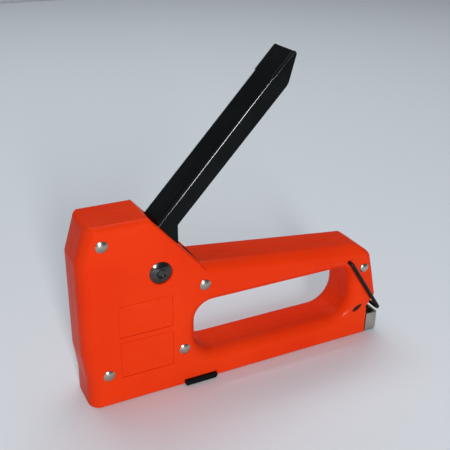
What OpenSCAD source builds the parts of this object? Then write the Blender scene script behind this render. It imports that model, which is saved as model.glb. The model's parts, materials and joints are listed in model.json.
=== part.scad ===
// Hand staple gun: a case moulded in two halves, a pressed-steel lever that lifts a sprung
// hammer, a magazine that draws out at the rear, and a wire bail that locks the lever down.
// Millimetres, +Z up, nose towards -X, seam between the halves on Y = 0.
// The origin is the point where a staple leaves the nose, on the base plane. Distances
// named "behind the nose" run from the front face and are turned into X by fx().

/* [Case] */
// Length of the case, from the front face to the rearmost point of the rear block
case_len = 161; // [158:1:163]
// Width of the case over both halves
case_w = 26; // [25:0.5:26]
// Height of the block over the hammer
block_h = 92; // [91:0.5:94]
// Thickness of the moulded walls at the sides
wall = 2.6; // [2:0.1:2.6]
// Radius of the upright corners at the nose
nose_r = 7; // [5:0.5:8]
// Radius along the edges of the hand grip
grip_r = 6; // [4:0.5:6.5]
// Radius along the top edges of the block
block_r = 3; // [2:0.5:4]
// Radius along the bottom edges
base_r = 1.2; // [0.8:0.1:1.5]

/* [Finger opening] */
// Front end of the finger opening, behind the nose
open_front = 55.5; // [55:0.5:56.5]
// Rear end of the finger opening, behind the nose
open_rear = 145; // [143:0.5:145]
// Height of the floor of the opening
open_floor = 13.2; // [13:0.1:14]
// Height of the ceiling of the opening
open_ceiling = 42.4; // [41:0.2:43]
// Fall of the grip's top edge, in degrees
grip_fall = 6.3; // [5.5:0.1:6.5]

/* [Lever] */
// Width of the lever channel
lever_w = 17; // [16:0.5:17]
// Length of the lever from the pivot's foot to the tip
lever_len = 112.9; // [100:0.1:115]
// Depth of the channel's side walls
lever_depth = 8.5; // [8:0.1:9]
// Thickness of the lever's sheet
lever_t = 1.5; // [1.2:0.1:1.6]
// Angle of the open lever above the base plane, in degrees
lever_open = 47.3; // [46:0.1:49]
// Diameter of the lever's pivot pin
pivot_d = 6; // [5:0.1:6]

/* [Hammer] */
// Height of the hammer's underside when it is down
hammer_z = 28; // [27.9:0.1:28.2]
// Width of the driver blade, which is the width of a staple's crown
blade_w = 11.4; // [11:0.1:11.6]
// Wire diameter of the power spring
power_wire = 1.6; // [1.2:0.1:1.7]
// Mean diameter of the power spring
power_d = 8.2; // [8:0.1:8.4]

/* [Magazine] */
// Outer width of the magazine channel
channel_w = 13.8; // [13.6:0.1:13.8]
// Diameter of the rod that guides the pusher
rod_d = 2.6; // [2.2:0.1:2.6]
// Length of the end cap behind the case
cap_len = 7.5; // [7:0.1:7.7]

/* [Bail] */
// Wire diameter of the lock bail
bail_wire = 2; // [1.8:0.1:2]
// Reach of the bail from its pivot to the middle of the crossbar
bail_len = 38; // [37.5:0.1:38.2]
// Angle at which the stowed bail hangs below the horizontal, in degrees
bail_hang = 56.5; // [56:0.5:57]

/* [Hidden] */
$fn = 48;

// The staple exit lies this far behind the front face.
exit_behind = 5;
function fx(behind) = behind - exit_behind;

half_w = case_w / 2;
cavity_y = half_w - wall;
front_wall = 3;
roof = 3;
grip_roof = 2.8;
bar_floor = 2.6;
grip_ref = [58, 63.9];
shoulder_top = 32.7;
shoulder_angle = 47.8;
recess = 1.8;
recess_top = 13;
ramp_top = 27;
slant_z = 75;
slant = 5.2;
rear_x = 156;
rear_step_z = 15.8;
pivot = [37.6, 64.7];
lever_gap = 0.7;
slot_front = 35.4;
slot_rear = 57.5;
bail_pivot = [141.1, 46.6];
bail_y = half_w + bail_wire / 2 + 1.4;

pivot_head_d = 10.8;
pivot_head_h = 1.6;
pivot_sink = 0.6;
spring_post = [32.3, 44.7];

// The catch and its window: place, tilt, and [length, width] of the two leaf shapes.
catch_at = [149.3, 17.2];
catch_tilt = 31;
catch_window = [7, 2.8];
catch_leaf = [6.4, 2.2];

// Shallow panels on each flank: [behind the nose, height, length, height of the panel].
PANELS = [[16.7, 35.6, 26.3, 16.6], [17, 14, 26, 19]];
panel_depth = 0.4;

// Rivet places, behind the nose and above the base: [place, height, head diameter].
RIVETS = [[11.1, 83.4, 5.5], [11, 17.1, 5.5], [48.65, 20.9, 5.5], [59.35, 53.5, 5.5],
          [150.9, 41.3, 5]];
rivet_d = 3.2;
boss_d = 7;
play = 0.05;

// Staple channel, core and pusher.
channel_t = 1;
channel_z = [0.3, 11.2];
channel_x = [6.4, 154];
lug_x = [48.8, 65.6];
lug_out = 1.8;
lug_h = 2.7;
core_w = 9.6;
core_z = [1.6, 8.6];
core_t = 0.9;
core_x = [6.8, 156.3];
rod_z = 4.8;
pusher_x = [6.5, 16];
cap_t = 1;
cap_y = half_w - 0.4;
cap_top = 11.2;

// Hammer, blade and fork.
blade_x = [4.5, 5.5];
hammer_x = 18.5;
hammer_half = 5.9;
ear_z = 52.95;
ear_x = 15.5;
guide_half = 7.3;
guide_t = 1.1;
guide_x = [3.2, 12];
spring_x = 13.6;
seat_z = [78.4, 79.8];
guide_top = slant_z - 0.2;
fork_y = [5.4, 6.9];
fork_nose = [17.05, 50.4];
fork_r = 2.2;
// The fork rivets' places along the lever, and their distance above the pivot line.
FORK_RIVETS = [[16.5, 8.6], [34, 8.9]];
fork_rivet_d = 3;
fork_rivet_out = lever_w / 2 - 0.3;
// Heights of the rivets that hold the blade on the hammer.
BLADE_RIVETS = [38, 46];
blade_rivet_d = 2.2;

// --- helpers -----------------------------------------------------------------------------

function unit2(v) = v / norm(v);

// Points of one outline corner [x, z, radius] between its neighbours a and b.
function corner(a, p, b, steps) =
    let (u = unit2([a.x - p.x, a.y - p.y]), v = unit2([b.x - p.x, b.y - p.y]),
         half = acos(u * v) / 2, m = unit2(u + v),
         c = [p.x, p.y] + m * p[2] / sin(half),
         s = [p.x, p.y] + u * p[2] / tan(half), e = [p.x, p.y] + v * p[2] / tan(half),
         a0 = atan2(s.y - c.y, s.x - c.x), turn = atan2(e.y - c.y, e.x - c.x) - a0,
         sweep = turn > 180 ? turn - 360 : turn < -180 ? turn + 360 : turn)
    [for (i = [0:steps]) c + p[2] * [cos(a0 + sweep * i / steps), sin(a0 + sweep * i / steps)]];

// An outline whose corners [x, z, radius] are rounded where the radius is above zero.
function rounded(pts, steps = 6) =
    [for (i = [0:len(pts) - 1])
        let (n = len(pts), p = pts[i])
        each p[2] == 0 ? [[p.x, p.y]]
                       : corner(pts[(i + n - 1) % n], p, pts[(i + 1) % n], steps)];

// The height of the grip's top line at a distance behind the nose.
function grip_top(behind) = grip_ref[1] - tan(grip_fall) * (behind - grip_ref[0]);

// The shoulder's slope: the height at a distance behind the nose.
function shoulder_z(behind) = block_h - tan(shoulder_angle) * (behind - shoulder_top);

// Side outlines [behind the nose, height] become a slab from y0 to y1.
module slab(y0, y1) {
    translate([-exit_behind, y1, 0]) rotate([90, 0, 0]) linear_extrude(y1 - y0) children();
}

// The same outline on both sides of the seam, from y0 to y1 away from it.
module both_sides(y0, y1) {
    slab(y0, y1) children();
    slab(-y1, -y0) children();
}

// A section drawn in Y and Z, run along X from x0 to x1 behind the nose.
module run(x0, x1) {
    translate([fx(x0), 0, 0]) rotate([90, 0, 90]) linear_extrude(x1 - x0) children();
}

// A round bar across the tool at [behind, height], from y0 to y1.
module cross_bar(at, d, y0, y1) {
    translate([fx(at.x), y0, at.y]) rotate([-90, 0, 0]) cylinder(d = d, h = y1 - y0);
}

// A domed head of diameter d and height h, standing out along +Z.
module dome(d, h) {
    ball = (d * d / 4 + h * h) / (2 * h);
    intersection() {
        translate([0, 0, h - ball]) sphere(r = ball);
        cylinder(d = d, h = h);
    }
}

// Both domed heads of a cross pin whose heads seat at a distance y from the seam.
module heads(at, d, h, y) {
    for (side = [-1, 1])
        translate([fx(at.x), side * y, at.y]) rotate([-90 * side, 0, 0]) dome(d, h);
}

// Wire swept along points, as one closed tube of the given number of sides.
module swept_wire(pts, r, sides) {
    last = len(pts) - 1;
    function along(i) = let (d = pts[min(i + 1, last)] - pts[max(i - 1, 0)]) d / norm(d);
    function ring(i) =
        let (t = along(i), up = abs(t.z) > 0.9 ? [1, 0, 0] : [0, 0, 1],
             n = cross(t, up) / norm(cross(t, up)), b = cross(t, n))
        [for (k = [0:sides - 1]) pts[i] + r * (cos(360 * k / sides) * n
                                             + sin(360 * k / sides) * b)];
    polyhedron(
        points = [for (i = [0:last]) each ring(i)],
        faces = concat(
            [[for (k = [0:sides - 1]) k]],
            [for (i = [0:last - 1], k = [0:sides - 1])
                let (a = i * sides + k, b = i * sides + (k + 1) % sides)
                each [[b, a, a + sides], [b, a + sides, b + sides]]],
            [[for (k = [sides - 1:-1:0]) last * sides + k]]));
}

// Points of a coil along +Z, whose end turns lie closer than the rest.
function coil(r, length, turns, per_turn, wire) =
    let (n = turns * per_turn, shut = 1.25, pitch = 1.2 * wire,
         open = turns - 2 * shut, lift = length - 2 * shut * pitch)
    [for (i = [0:n])
        let (t = i / per_turn,
             z = t < shut ? t * pitch
               : t > turns - shut ? length - (turns - t) * pitch
               : shut * pitch + (t - shut) / open * lift)
        [r * cos(360 * t), r * sin(360 * t), z]];

// --- case --------------------------------------------------------------------------------

module block_outline() {
    polygon(rounded([[recess, 0, 0], [recess, recess_top, 0], [0, ramp_top, 0],
                     [0, slant_z, 0], [slant, block_h, block_r], [shoulder_top, block_h, 1.5],
                     [slot_rear + 2, shoulder_z(slot_rear + 2), 0],
                     [slot_rear + 2, 50, 0], [open_front, 50, 0], [open_front, 0, 0]]));
}

module rear_outline() {
    polygon(rounded([[open_rear, 0, 0], [rear_x, 0, 0], [rear_x, rear_step_z, 0],
                     [case_len, 22.5, 2], [156.8, 40, 8], [154.4, 49.3, 4],
                     [148, grip_top(148), 3], [open_rear, grip_top(open_rear), 0]]));
}

module bar_section(z0, z1, r_low, r_high) {
    polygon(rounded([[-half_w, z0, r_low], [half_w, z0, r_low],
                     [half_w, z1, r_high], [-half_w, z1, r_high]]));
}

module front_block() {
    intersection() {
        slab(-half_w, half_w) block_outline();
        run(-1, slot_rear + 5) bar_section(0, block_h, base_r, block_r);
        translate([fx(0), -half_w, 0]) linear_extrude(block_h + 1)
            polygon(rounded([[0, 0, nose_r], [slot_rear + 5, 0, 0],
                             [slot_rear + 5, case_w, 0], [0, case_w, nose_r]]));
    }
}

module grip_bar() {
    intersection() {
        translate([fx(grip_ref[0]), 0, grip_ref[1]]) rotate([0, grip_fall, 0])
            translate([-fx(20), 0, 0]) run(0, 120) bar_section(-40, 0, 0.5, grip_r);
        run(45, 150) bar_section(open_ceiling, 90, grip_r, 0.5);
    }
}

module corner_fill(x, z, r, dx, dz) {
    slab(-half_w + 3, half_w - 3) translate([x, z]) scale([dx, dz]) difference() {
        translate([-1, -1]) square(r + 1);
        translate([r, r]) circle(r);
    }
}

module rear_block() {
    intersection() {
        slab(-half_w, half_w) rear_outline();
        translate([fx(open_rear), -half_w, 0]) linear_extrude(block_h)
            polygon(rounded([[0, 0, 0], [case_len - open_rear, 0, 4],
                             [case_len - open_rear, case_w, 4], [0, case_w, 0]]));
    }
}

module case_outside() {
    front_block();
    grip_bar();
    rear_block();
    run(45, rear_x) bar_section(0, open_floor, base_r, grip_r);
    corner_fill(open_front, open_ceiling, 8, 1, -1);
    corner_fill(open_front, open_floor, 12, 1, 1);
    corner_fill(open_rear, open_floor, 12, -1, 1);
    corner_fill(open_rear, open_ceiling, 8, -1, -1);
}

module cavity_outline() {
    // The room around the hammer and the lever's foot.
    polygon([[front_wall, bar_floor], [front_wall, slant_z], [slant + roof, block_h - roof],
             [shoulder_top - 0.5, block_h - roof], [slot_rear - 1, shoulder_z(slot_rear + 2)],
             [slot_rear - 1, 45.2], [open_front - wall, 42], [open_front - wall, bar_floor]]);
    // The hollow grip.
    polygon([[50, open_ceiling + grip_roof], [148, open_ceiling + grip_roof],
             [148, grip_top(148) - grip_roof], [50, grip_top(50) - grip_roof - 2]]);
    // The rear block.
    polygon([[open_rear + wall, bar_floor], [rear_x - wall, bar_floor],
             [rear_x - wall, rear_step_z + 1.5], [case_len - 2 * wall, 23.5], [154, 38],
             [151, 47], [open_rear + wall, 49]]);
    // The magazine tunnel.
    translate([front_wall, bar_floor])
        square([rear_x - wall - front_wall, open_floor - bar_floor - 1.8]);
}

module boss_places(y) {
    for (r = RIVETS) cross_bar(r, boss_d, -y, y);
}

module case_solid() {
    difference() {
        case_outside();
        slab(-cavity_y, cavity_y) cavity_outline();
    }
    difference() {
        boss_places(cavity_y + 0.5);
        slab(-half_w, half_w) difference() {
            square([400, 400], center = true);
            cavity_outline();
        }
    }
    // Pads that hold the lever away from the walls, and the post for the return spring.
    for (side = [-1, 1])
        translate([0, side * (cavity_y + lever_w / 2 + 0.4) / 2, 0])
            cross_bar(pivot, 13, -(cavity_y - lever_w / 2 - 0.4) / 2 - 0.01,
                      (cavity_y - lever_w / 2 - 0.4) / 2 + 0.01);
    cross_bar(spring_post, 4, -cavity_y - 0.5, cavity_y + 0.5);
}

// The slanted leaf shape of the catch's window: two arcs that meet in points.
module leaf_outline(size) {
    length = size[0];
    width = size[1];
    r = (length * length + width * width) / (4 * width);
    translate(catch_at) rotate(catch_tilt) intersection() {
        translate([0, r - width / 2]) circle(r);
        translate([0, width / 2 - r]) circle(r);
    }
}

module case_cuts() {
    // Way for the lever.
    slab(-lever_w / 2 - lever_gap, lever_w / 2 + lever_gap)
        polygon([[slot_front, 58], [slot_front, block_h + 4], [slot_rear + 12, block_h + 4],
                 [slot_rear, 75], [slot_rear, 58]]);
    // Open underside for the magazine, and the way out at the rear.
    slab(-channel_w / 2 - 0.3, channel_w / 2 + 0.3)
        translate([front_wall, -1]) square([case_len, channel_z[1] + 1.4]);
    slab(-guide_half - guide_t - 0.3, guide_half + guide_t + 0.3)
        translate([front_wall, -1]) square([3.4, 5]);
    // Windows for the lugs of the magazine channel.
    slab(-half_w - 1, half_w + 1)
        translate([lug_x[0] - 0.3, -1]) square([lug_x[1] - lug_x[0] + 0.6, lug_h + 1.2]);
    slab(-half_w - 1, half_w + 1) leaf_outline(catch_window);
    cross_bar(bail_pivot, bail_wire + 2 * play + 0.1, -half_w - 1, half_w + 1);
    for (r = RIVETS) cross_bar(r, rivet_d + 2 * play, -half_w - 1, half_w + 1);
    cross_bar(pivot, pivot_d + 2 * play, -half_w - 1, half_w + 1);
    for (y = [-half_w - 1, half_w - pivot_sink])
        cross_bar(pivot, pivot_head_d + 0.8, y, y + 1 + pivot_sink);
    // Shallow panels on each flank.
    both_sides(half_w - panel_depth, half_w + 1)
        for (p = PANELS) translate([p[0], p[1]]) square([p[2], p[3]]);
}

module shell(side) {
    difference() {
        intersection() {
            case_solid();
            translate([-50, side < 0 ? -50 : 0, -10]) cube([300, 50, 200]);
        }
        case_cuts();
    }
}

module left_shell() color("orangered") shell(-1);
module right_shell() color("orangered") shell(1);

module case_rivets() color("silver") {
    for (r = RIVETS) {
        cross_bar(r, rivet_d, -half_w, half_w);
        heads(r, r[2], 1.1, half_w);
    }
}

module lever_pivot_pin() color("dimgray") {
    seat = half_w - pivot_sink;
    cross_bar(pivot, pivot_d, -seat, seat);
    heads(pivot, pivot_head_d, pivot_head_h, seat);
}

module nose_guide() color("lightsteelblue") {
    slab(-guide_half - guide_t, guide_half + guide_t)
        translate([guide_x[0], 0.3]) square([guide_t, guide_top - 0.3]);
    both_sides(guide_half, guide_half + guide_t)
        translate([guide_x[0], 21.5]) square([guide_x[1] - guide_x[0], guide_top - 21.5]);
}

module spring_seat() color("gray") {
    slab(-cavity_y + 0.2, cavity_y - 0.2)
        translate([6.5, seat_z[0]]) square([15, seat_z[1] - seat_z[0]]);
    translate([fx(spring_x), 0, seat_z[0] - 5]) cylinder(d = 5.6, h = 5);
}

module hammer_bumper() color("black") {
    slab(-5.5, 5.5) translate([6.8, 20.8]) square([9.5, hammer_z - 21]);
}

module power_spring() color("silver") {
    base = hammer_z + 6;
    translate([fx(spring_x), 0, base + power_wire / 2])
        swept_wire(coil(power_d / 2, seat_z[0] - base - power_wire, 10, 16, power_wire),
                   power_wire / 2, 8);
}

// Torsion spring around the pivot: one leg bears on the case's post, the other on the web
// of the lift fork. Both legs leave the coil along its tangent.
module lever_return_spring() color("silver") {
    r = 4.7;
    wire = 1;
    turns = 3;
    spread = 6.6;
    to_post = -110;
    to_web = lever_open + 25;
    start = to_post + 90;
    finish = to_web - 90 + 360 * turns;
    n = 16 * turns;
    coil_pts = [for (i = [0:n]) let (a = start + (finish - start) * i / n)
        [r * cos(a), spread * (i / n - 0.5), r * sin(a)]];
    leg_a = [for (k = [4:-1:1]) coil_pts[0] + k * 5.5 * [cos(to_post), 0, sin(to_post)]];
    leg_b = [for (k = [1:4]) coil_pts[n] + k * 8.4 * [cos(to_web), 0, sin(to_web)]];
    translate([fx(pivot.x), 0, pivot.y])
        swept_wire(concat(leg_a, coil_pts, leg_b), wire / 2, 8);
}

module magazine_channel() color("#202022") {
    difference() {
        union() {
            slab(-channel_w / 2, channel_w / 2) translate([channel_x[0], channel_z[0]])
                square([channel_x[1] - channel_x[0], channel_z[1] - channel_z[0]]);
            slab(-half_w - lug_out, half_w + lug_out)
                polygon(rounded([[lug_x[0], 0, 0.5], [lug_x[1], 0, 1.8],
                                 [lug_x[1], lug_h, 0.4], [lug_x[0], lug_h, 0.4]], 4));
        }
        slab(-channel_w / 2 + channel_t, channel_w / 2 - channel_t)
            translate([0, channel_z[0] + channel_t]) square([200, 30]);
    }
}

module magazine_catch() color("#303030") {
    slab(-half_w + 0.3, half_w - 0.3) leaf_outline(catch_leaf);
}

// --- lever -------------------------------------------------------------------------------

// Puts a side outline drawn along the lever (x) and above the pivot line (y) in place.
module lever_slab(y0, y1) {
    slab(y0, y1) translate(pivot) rotate(lever_open) children();
}

lever_top = 14.4;
lever_low = lever_top - lever_depth;

module lever_outline() {
    ear = 9;
    difference() {
        union() {
            polygon(rounded([[-4, lever_top, 1], [lever_len, lever_top, 0.8],
                             [lever_len, lever_top - 2.2, 0.8],
                             [lever_len - 12.5, lever_low, 6], [21.5, lever_low, 1.5],
                             [14.6, -0.7, 2], [9.5, -4, 0], [0, 0, 0], [-ear, 0, 0]]));
            circle(ear);
        }
        circle(d = pivot_d + 2 * play);
    }
}

module lever_section() {
    r = 2.2;
    w = lever_w / 2;
    difference() {
        polygon(rounded([[-w, -20, 0], [w, -20, 0], [w, lever_top, r], [-w, lever_top, r]]));
        polygon(rounded([[-w + lever_t, -21, 0], [w - lever_t, -21, 0],
                         [w - lever_t, lever_top - lever_t, r - 1.4],
                         [-w + lever_t, lever_top - lever_t, r - 1.4]]));
    }
}

module lever() color("#141414") {
    seat = 15;
    flare = 0.6;
    difference() {
        union() {
            intersection() {
                lever_slab(-lever_w / 2, lever_w / 2) lever_outline();
                translate([fx(pivot.x), 0, pivot.y]) rotate([0, -lever_open, 0])
                    translate([-20, 0, 0]) rotate([90, 0, 90])
                        linear_extrude(lever_len + 40) lever_section();
            }
            lever_slab(-lever_w / 2 - flare, lever_w / 2 + flare)
                polygon(rounded([[lever_len - seat, lever_top - 1.4, 0.3],
                                 [lever_len - 0.4, lever_top - 1.4, 0.3],
                                 [lever_len - 0.4, lever_top, 0.5],
                                 [lever_len - seat, lever_top, 0.5]], 3));
        }
        lever_slab(-lever_w, lever_w)
            for (p = FORK_RIVETS) translate(p) circle(d = fork_rivet_d);
    }
}

module lift_fork() color("gray") {
    reach = norm(fork_nose - pivot);
    aim = atan2(fork_nose.y - pivot.y, fork_nose.x - pivot.x);
    difference() {
        union() {
            both_sides(fork_y[0], fork_y[1]) {
                translate(pivot) rotate(aim) {
                    polygon([[0, -6.6], [10, -4], [19, -0.9], [reach, -0.9], [reach, 1.7],
                             [18, 4.2], [0, 6.8]]);
                    translate([reach, 0]) circle(fork_r);
                }
                translate(pivot) circle(7.5);
                translate(pivot) rotate(lever_open)
                    polygon(rounded([[0, -6, 0], [12, 4.5, 3], [38, 6.2, 1.5], [38, 12.6, 1],
                                     [8, 12.6, 3], [-6, 3, 0]]));
            }
            lever_slab(-fork_y[1] + 0.5, fork_y[1] - 0.5)
                translate([16, 11]) square([20, 1.2]);
        }
        cross_bar(pivot, pivot_d + 2 * play, -20, 20);
        lever_slab(-20, 20) for (p = FORK_RIVETS) translate(p) circle(d = fork_rivet_d);
    }
}

module fork_rivets() color("dimgray") {
    head_h = 0.9;
    for (side = [-1, 1]) {
        y0 = side < 0 ? -fork_rivet_out : fork_y[0] - 0.5;
        y1 = side < 0 ? -fork_y[0] + 0.5 : fork_rivet_out;
        lever_slab(y0, y1) for (p = FORK_RIVETS) translate(p) circle(d = fork_rivet_d);
        low = side < 0 ? -fork_y[0] : fork_y[0] - head_h;
        lever_slab(low, low + head_h)
            for (p = FORK_RIVETS) translate(p) circle(d = fork_rivet_d + 1);
    }
}

// --- hammer ------------------------------------------------------------------------------

// The holes for the blade's rivets, through the blade and the hammer.
module blade_rivet_holes() {
    for (z = BLADE_RIVETS)
        translate([fx(0), 0, z]) rotate([0, 90, 0]) cylinder(d = blade_rivet_d, h = 20);
}

module hammer() color("slategray") {
    plate_t = 2.6;
    ear_h = 4;
    difference() {
        union() {
            // Front plate, spring foot and the two lifting ears.
            slab(-hammer_half, hammer_half) translate([blade_x[1], hammer_z])
                square([plate_t, ear_z + ear_h - hammer_z]);
            slab(-hammer_half, hammer_half) translate([blade_x[1], hammer_z])
                square([hammer_x - blade_x[1], 6]);
            slab(-guide_half + 0.2, guide_half - 0.2) translate([blade_x[1], ear_z])
                square([plate_t, ear_h]);
            both_sides(5.4, guide_half - 0.2)
                translate([blade_x[1], ear_z]) square([ear_x - blade_x[1], ear_h]);
        }
        blade_rivet_holes();
    }
}

module driver_blade() color("silver") {
    difference() {
        slab(-blade_w / 2, blade_w / 2)
            translate([blade_x[0], 0.5]) square([blade_x[1] - blade_x[0], 52]);
        blade_rivet_holes();
    }
}

module blade_rivets() color("gray") {
    for (z = BLADE_RIVETS)
        translate([fx(blade_x[0]), 0, z]) rotate([0, 90, 0]) cylinder(d = blade_rivet_d, h = 3.6);
}

// --- magazine insert ---------------------------------------------------------------------

module end_cap() color("gainsboro") {
    side = rounded([[rear_x - 1.2, 0, 0.4], [rear_x + cap_len, 0, 2],
                    [rear_x + cap_len, cap_top, 0.6], [rear_x + 0.4, cap_top - 1, 0.4],
                    [rear_x + 0.4, 3, 0], [rear_x - 1.2, 2.4, 0]], 4);
    inner = [[rear_x - 3, cap_t], [rear_x + cap_len - cap_t, cap_t],
             [rear_x + cap_len - cap_t, 30], [rear_x - 3, 30]];
    difference() {
        union() {
            difference() {
                slab(-cap_y, cap_y) intersection() {
                    polygon(side);
                    translate([rear_x + 0.3, -1]) square([20, 40]);
                }
                slab(-cap_y + cap_t, cap_y - cap_t) polygon(inner);
            }
            slab(-6, 6) translate([rear_x + 0.3, cap_t / 2]) square([cap_t, 9]);
        }
        run(rear_x - 5, rear_x + 20) translate([0, rod_z]) circle(d = rod_d + 0.1);
    }
}

module core_rail() color("silver") {
    difference() {
        run(core_x[0], core_x[1]) translate([-core_w / 2, core_z[0]])
            square([core_w, core_z[1] - core_z[0]]);
        run(0, 200) translate([-core_w / 2 + core_t, 0])
            square([core_w - 2 * core_t, core_z[1] - core_t]);
        run(0, core_x[1] - 6) translate([-1.2, 0]) square([2.4, 20]);
    }
}

module guide_rod() color("silver") {
    rear = rear_x + cap_len;
    run(7.5, rear) translate([0, rod_z]) circle(d = rod_d);
    translate([fx(rear), 0, rod_z]) rotate([0, 90, 0]) dome(5, 0.9);
}

module pusher_spring() color("gray") {
    wire = 0.6;
    long = core_x[1] - pusher_x[1] - wire;
    translate([fx(pusher_x[1]) + wire / 2, 0, rod_z]) rotate([0, 90, 0])
        swept_wire(coil(1.85, long, 26, 8, wire), wire / 2, 6);
}

module pusher() color("darkgray") {
    difference() {
        union() {
            run(pusher_x[0], pusher_x[1]) difference() {
                translate([-5.6, 2]) square([11.2, 7.8]);
                translate([-core_w / 2 - 0.15, 0]) square([core_w + 0.3, core_z[1] + 0.15]);
            }
            run(pusher_x[0] + 0.5, pusher_x[1] - 0.5)
                translate([-0.9, rod_z]) square([1.8, 4.5]);
            run(pusher_x[0] + 0.5, pusher_x[1]) translate([0, rod_z]) circle(d = 5.2);
        }
        run(0, 30) translate([0, rod_z]) circle(d = rod_d + 2 * play);
    }
}

// --- bail --------------------------------------------------------------------------------

module bail_half() {
    hook = 1.5;
    bend = 3;
    in = bail_y - hook;
    rotate([-90, 0, 0]) translate([0, 0, cavity_y - 0.6])
        cylinder(d = bail_wire, h = in - cavity_y + 0.6);
    translate([hook, in, 0]) rotate([0, 0, 90]) rotate_extrude(angle = 90)
        translate([hook, 0]) circle(d = bail_wire);
    translate([hook, bail_y, 0]) rotate([0, 90, 0])
        cylinder(d = bail_wire, h = bail_len - hook - bend);
    translate([bail_len - bend, bail_y - bend, 0]) rotate_extrude(angle = 90)
        translate([bend, 0]) circle(d = bail_wire);
    translate([bail_len, 0, 0]) rotate([-90, 0, 0])
        cylinder(d = bail_wire, h = bail_y - bend);
}

module lock_bail() color("#1c1814") {
    translate([fx(bail_pivot.x), 0, bail_pivot.y]) rotate([0, bail_hang, 0]) {
        bail_half();
        mirror([0, 1, 0]) bail_half();
    }
}

left_shell();
right_shell();
case_rivets();
lever_pivot_pin();
nose_guide();
spring_seat();
hammer_bumper();
power_spring();
lever_return_spring();
magazine_channel();
magazine_catch();
lever();
lift_fork();
fork_rivets();
hammer();
driver_blade();
blade_rivets();
lock_bail();
end_cap();
core_rail();
guide_rod();
pusher_spring();
pusher();
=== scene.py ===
# %% [markdown]
# # A hand staple gun: looks around a fixed frame
# The design file already holds every size, fit and joint of this staple gun. This lesson
# adds what the hand and the eye meet: moulded case halves with soft edges, an enamelled
# steel lever, plated rivets, a folded end cap and a wire bail. Nothing is moved or resized.

# %% Load the frame
import json
from math import acos, asin, atan2, cos, pi, radians, sin, sqrt, tan

import bmesh
import bpy
from mathutils import Matrix, Vector

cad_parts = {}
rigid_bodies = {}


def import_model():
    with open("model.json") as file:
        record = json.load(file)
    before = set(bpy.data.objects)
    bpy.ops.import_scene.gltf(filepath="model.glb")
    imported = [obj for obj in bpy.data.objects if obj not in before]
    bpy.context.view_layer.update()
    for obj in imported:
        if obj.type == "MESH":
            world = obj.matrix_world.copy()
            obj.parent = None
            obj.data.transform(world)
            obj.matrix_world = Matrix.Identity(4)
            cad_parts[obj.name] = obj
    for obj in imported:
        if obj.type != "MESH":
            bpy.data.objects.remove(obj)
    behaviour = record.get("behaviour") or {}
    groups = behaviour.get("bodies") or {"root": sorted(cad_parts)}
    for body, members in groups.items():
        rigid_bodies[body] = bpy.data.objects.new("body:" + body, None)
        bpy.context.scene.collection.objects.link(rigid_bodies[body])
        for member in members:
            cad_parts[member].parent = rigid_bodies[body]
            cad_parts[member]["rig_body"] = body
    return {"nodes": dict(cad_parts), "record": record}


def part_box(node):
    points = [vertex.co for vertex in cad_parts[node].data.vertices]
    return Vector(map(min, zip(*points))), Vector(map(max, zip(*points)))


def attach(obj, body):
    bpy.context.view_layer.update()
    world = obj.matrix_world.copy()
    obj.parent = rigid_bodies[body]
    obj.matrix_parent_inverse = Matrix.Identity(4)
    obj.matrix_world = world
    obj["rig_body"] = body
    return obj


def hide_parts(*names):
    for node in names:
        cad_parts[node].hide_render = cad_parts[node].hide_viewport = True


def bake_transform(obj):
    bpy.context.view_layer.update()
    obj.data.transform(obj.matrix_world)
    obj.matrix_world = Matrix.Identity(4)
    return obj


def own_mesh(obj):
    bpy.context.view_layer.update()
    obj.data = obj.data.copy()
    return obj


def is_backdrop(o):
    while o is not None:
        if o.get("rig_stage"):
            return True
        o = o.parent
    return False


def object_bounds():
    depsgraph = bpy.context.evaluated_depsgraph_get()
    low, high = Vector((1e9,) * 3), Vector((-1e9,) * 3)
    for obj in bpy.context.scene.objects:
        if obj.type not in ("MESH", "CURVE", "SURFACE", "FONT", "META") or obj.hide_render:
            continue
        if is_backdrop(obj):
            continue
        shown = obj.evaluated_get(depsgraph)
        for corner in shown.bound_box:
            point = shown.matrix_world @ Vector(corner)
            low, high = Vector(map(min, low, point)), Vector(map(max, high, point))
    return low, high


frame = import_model()
cad_low, cad_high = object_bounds()
nodes = frame["nodes"]
print("size in mm:", [round(v * 1000, 1) for v in cad_high - cad_low])

# %% [markdown]
# The frame's X starts at the staple exit. On the drawing of the tool, lengths run from the
# front face of the nose instead, so one helper turns "behind the nose" and "above the base"
# in millimetres into a place in metres. Two more pick verts or edges out of what a bmesh
# operator returns.

# %% Units, places and picks
MM = 0.001
NOSE = cad_low.x / MM
HALF_W = -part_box("left_shell")[0].y / MM


def at(behind, y, z):
    return Vector((behind + NOSE, y, z)) * MM


def verts_in(geom):
    return [g for g in geom if isinstance(g, bmesh.types.BMVert)]


def edges_in(geom):
    return [g for g in geom if isinstance(g, bmesh.types.BMEdge)]


print("nose face at X =", round(NOSE, 2), "mm, half width", round(HALF_W, 2), "mm")

# %% [markdown]
# ## Camera, stage and light
# A tool like this is drawn in three-quarter view from a little above its nose. A floor that
# sweeps up behind it keeps the backdrop plain. A tall narrow light on the near side lights
# the flank and draws the bright line along the lever's fold, a broad one above lights the
# tops, and a third one washes the backdrop. The near light only grazes the nose, so the nose
# stays darker than the flank.

# %% Camera
AZIMUTH, ELEVATION, ROLL = radians(-26.9), radians(25.45), radians(0.98)
DISTANCE = 340.2 * MM
LENS, SENSOR = 58.52, 36
AIM_SHIFT = Vector((-9.4, -5.6, -0.2)) * MM

middle = (cad_low + cad_high) / 2
aim = middle + AIM_SHIFT
back = Vector((sin(AZIMUTH) * cos(ELEVATION), -cos(AZIMUTH) * cos(ELEVATION),
               sin(ELEVATION)))
level = Vector((cos(AZIMUTH), sin(AZIMUTH), 0))
upright = back.cross(level)
right = level * cos(ROLL) + upright * sin(ROLL)
up = upright * cos(ROLL) - level * sin(ROLL)

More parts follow.
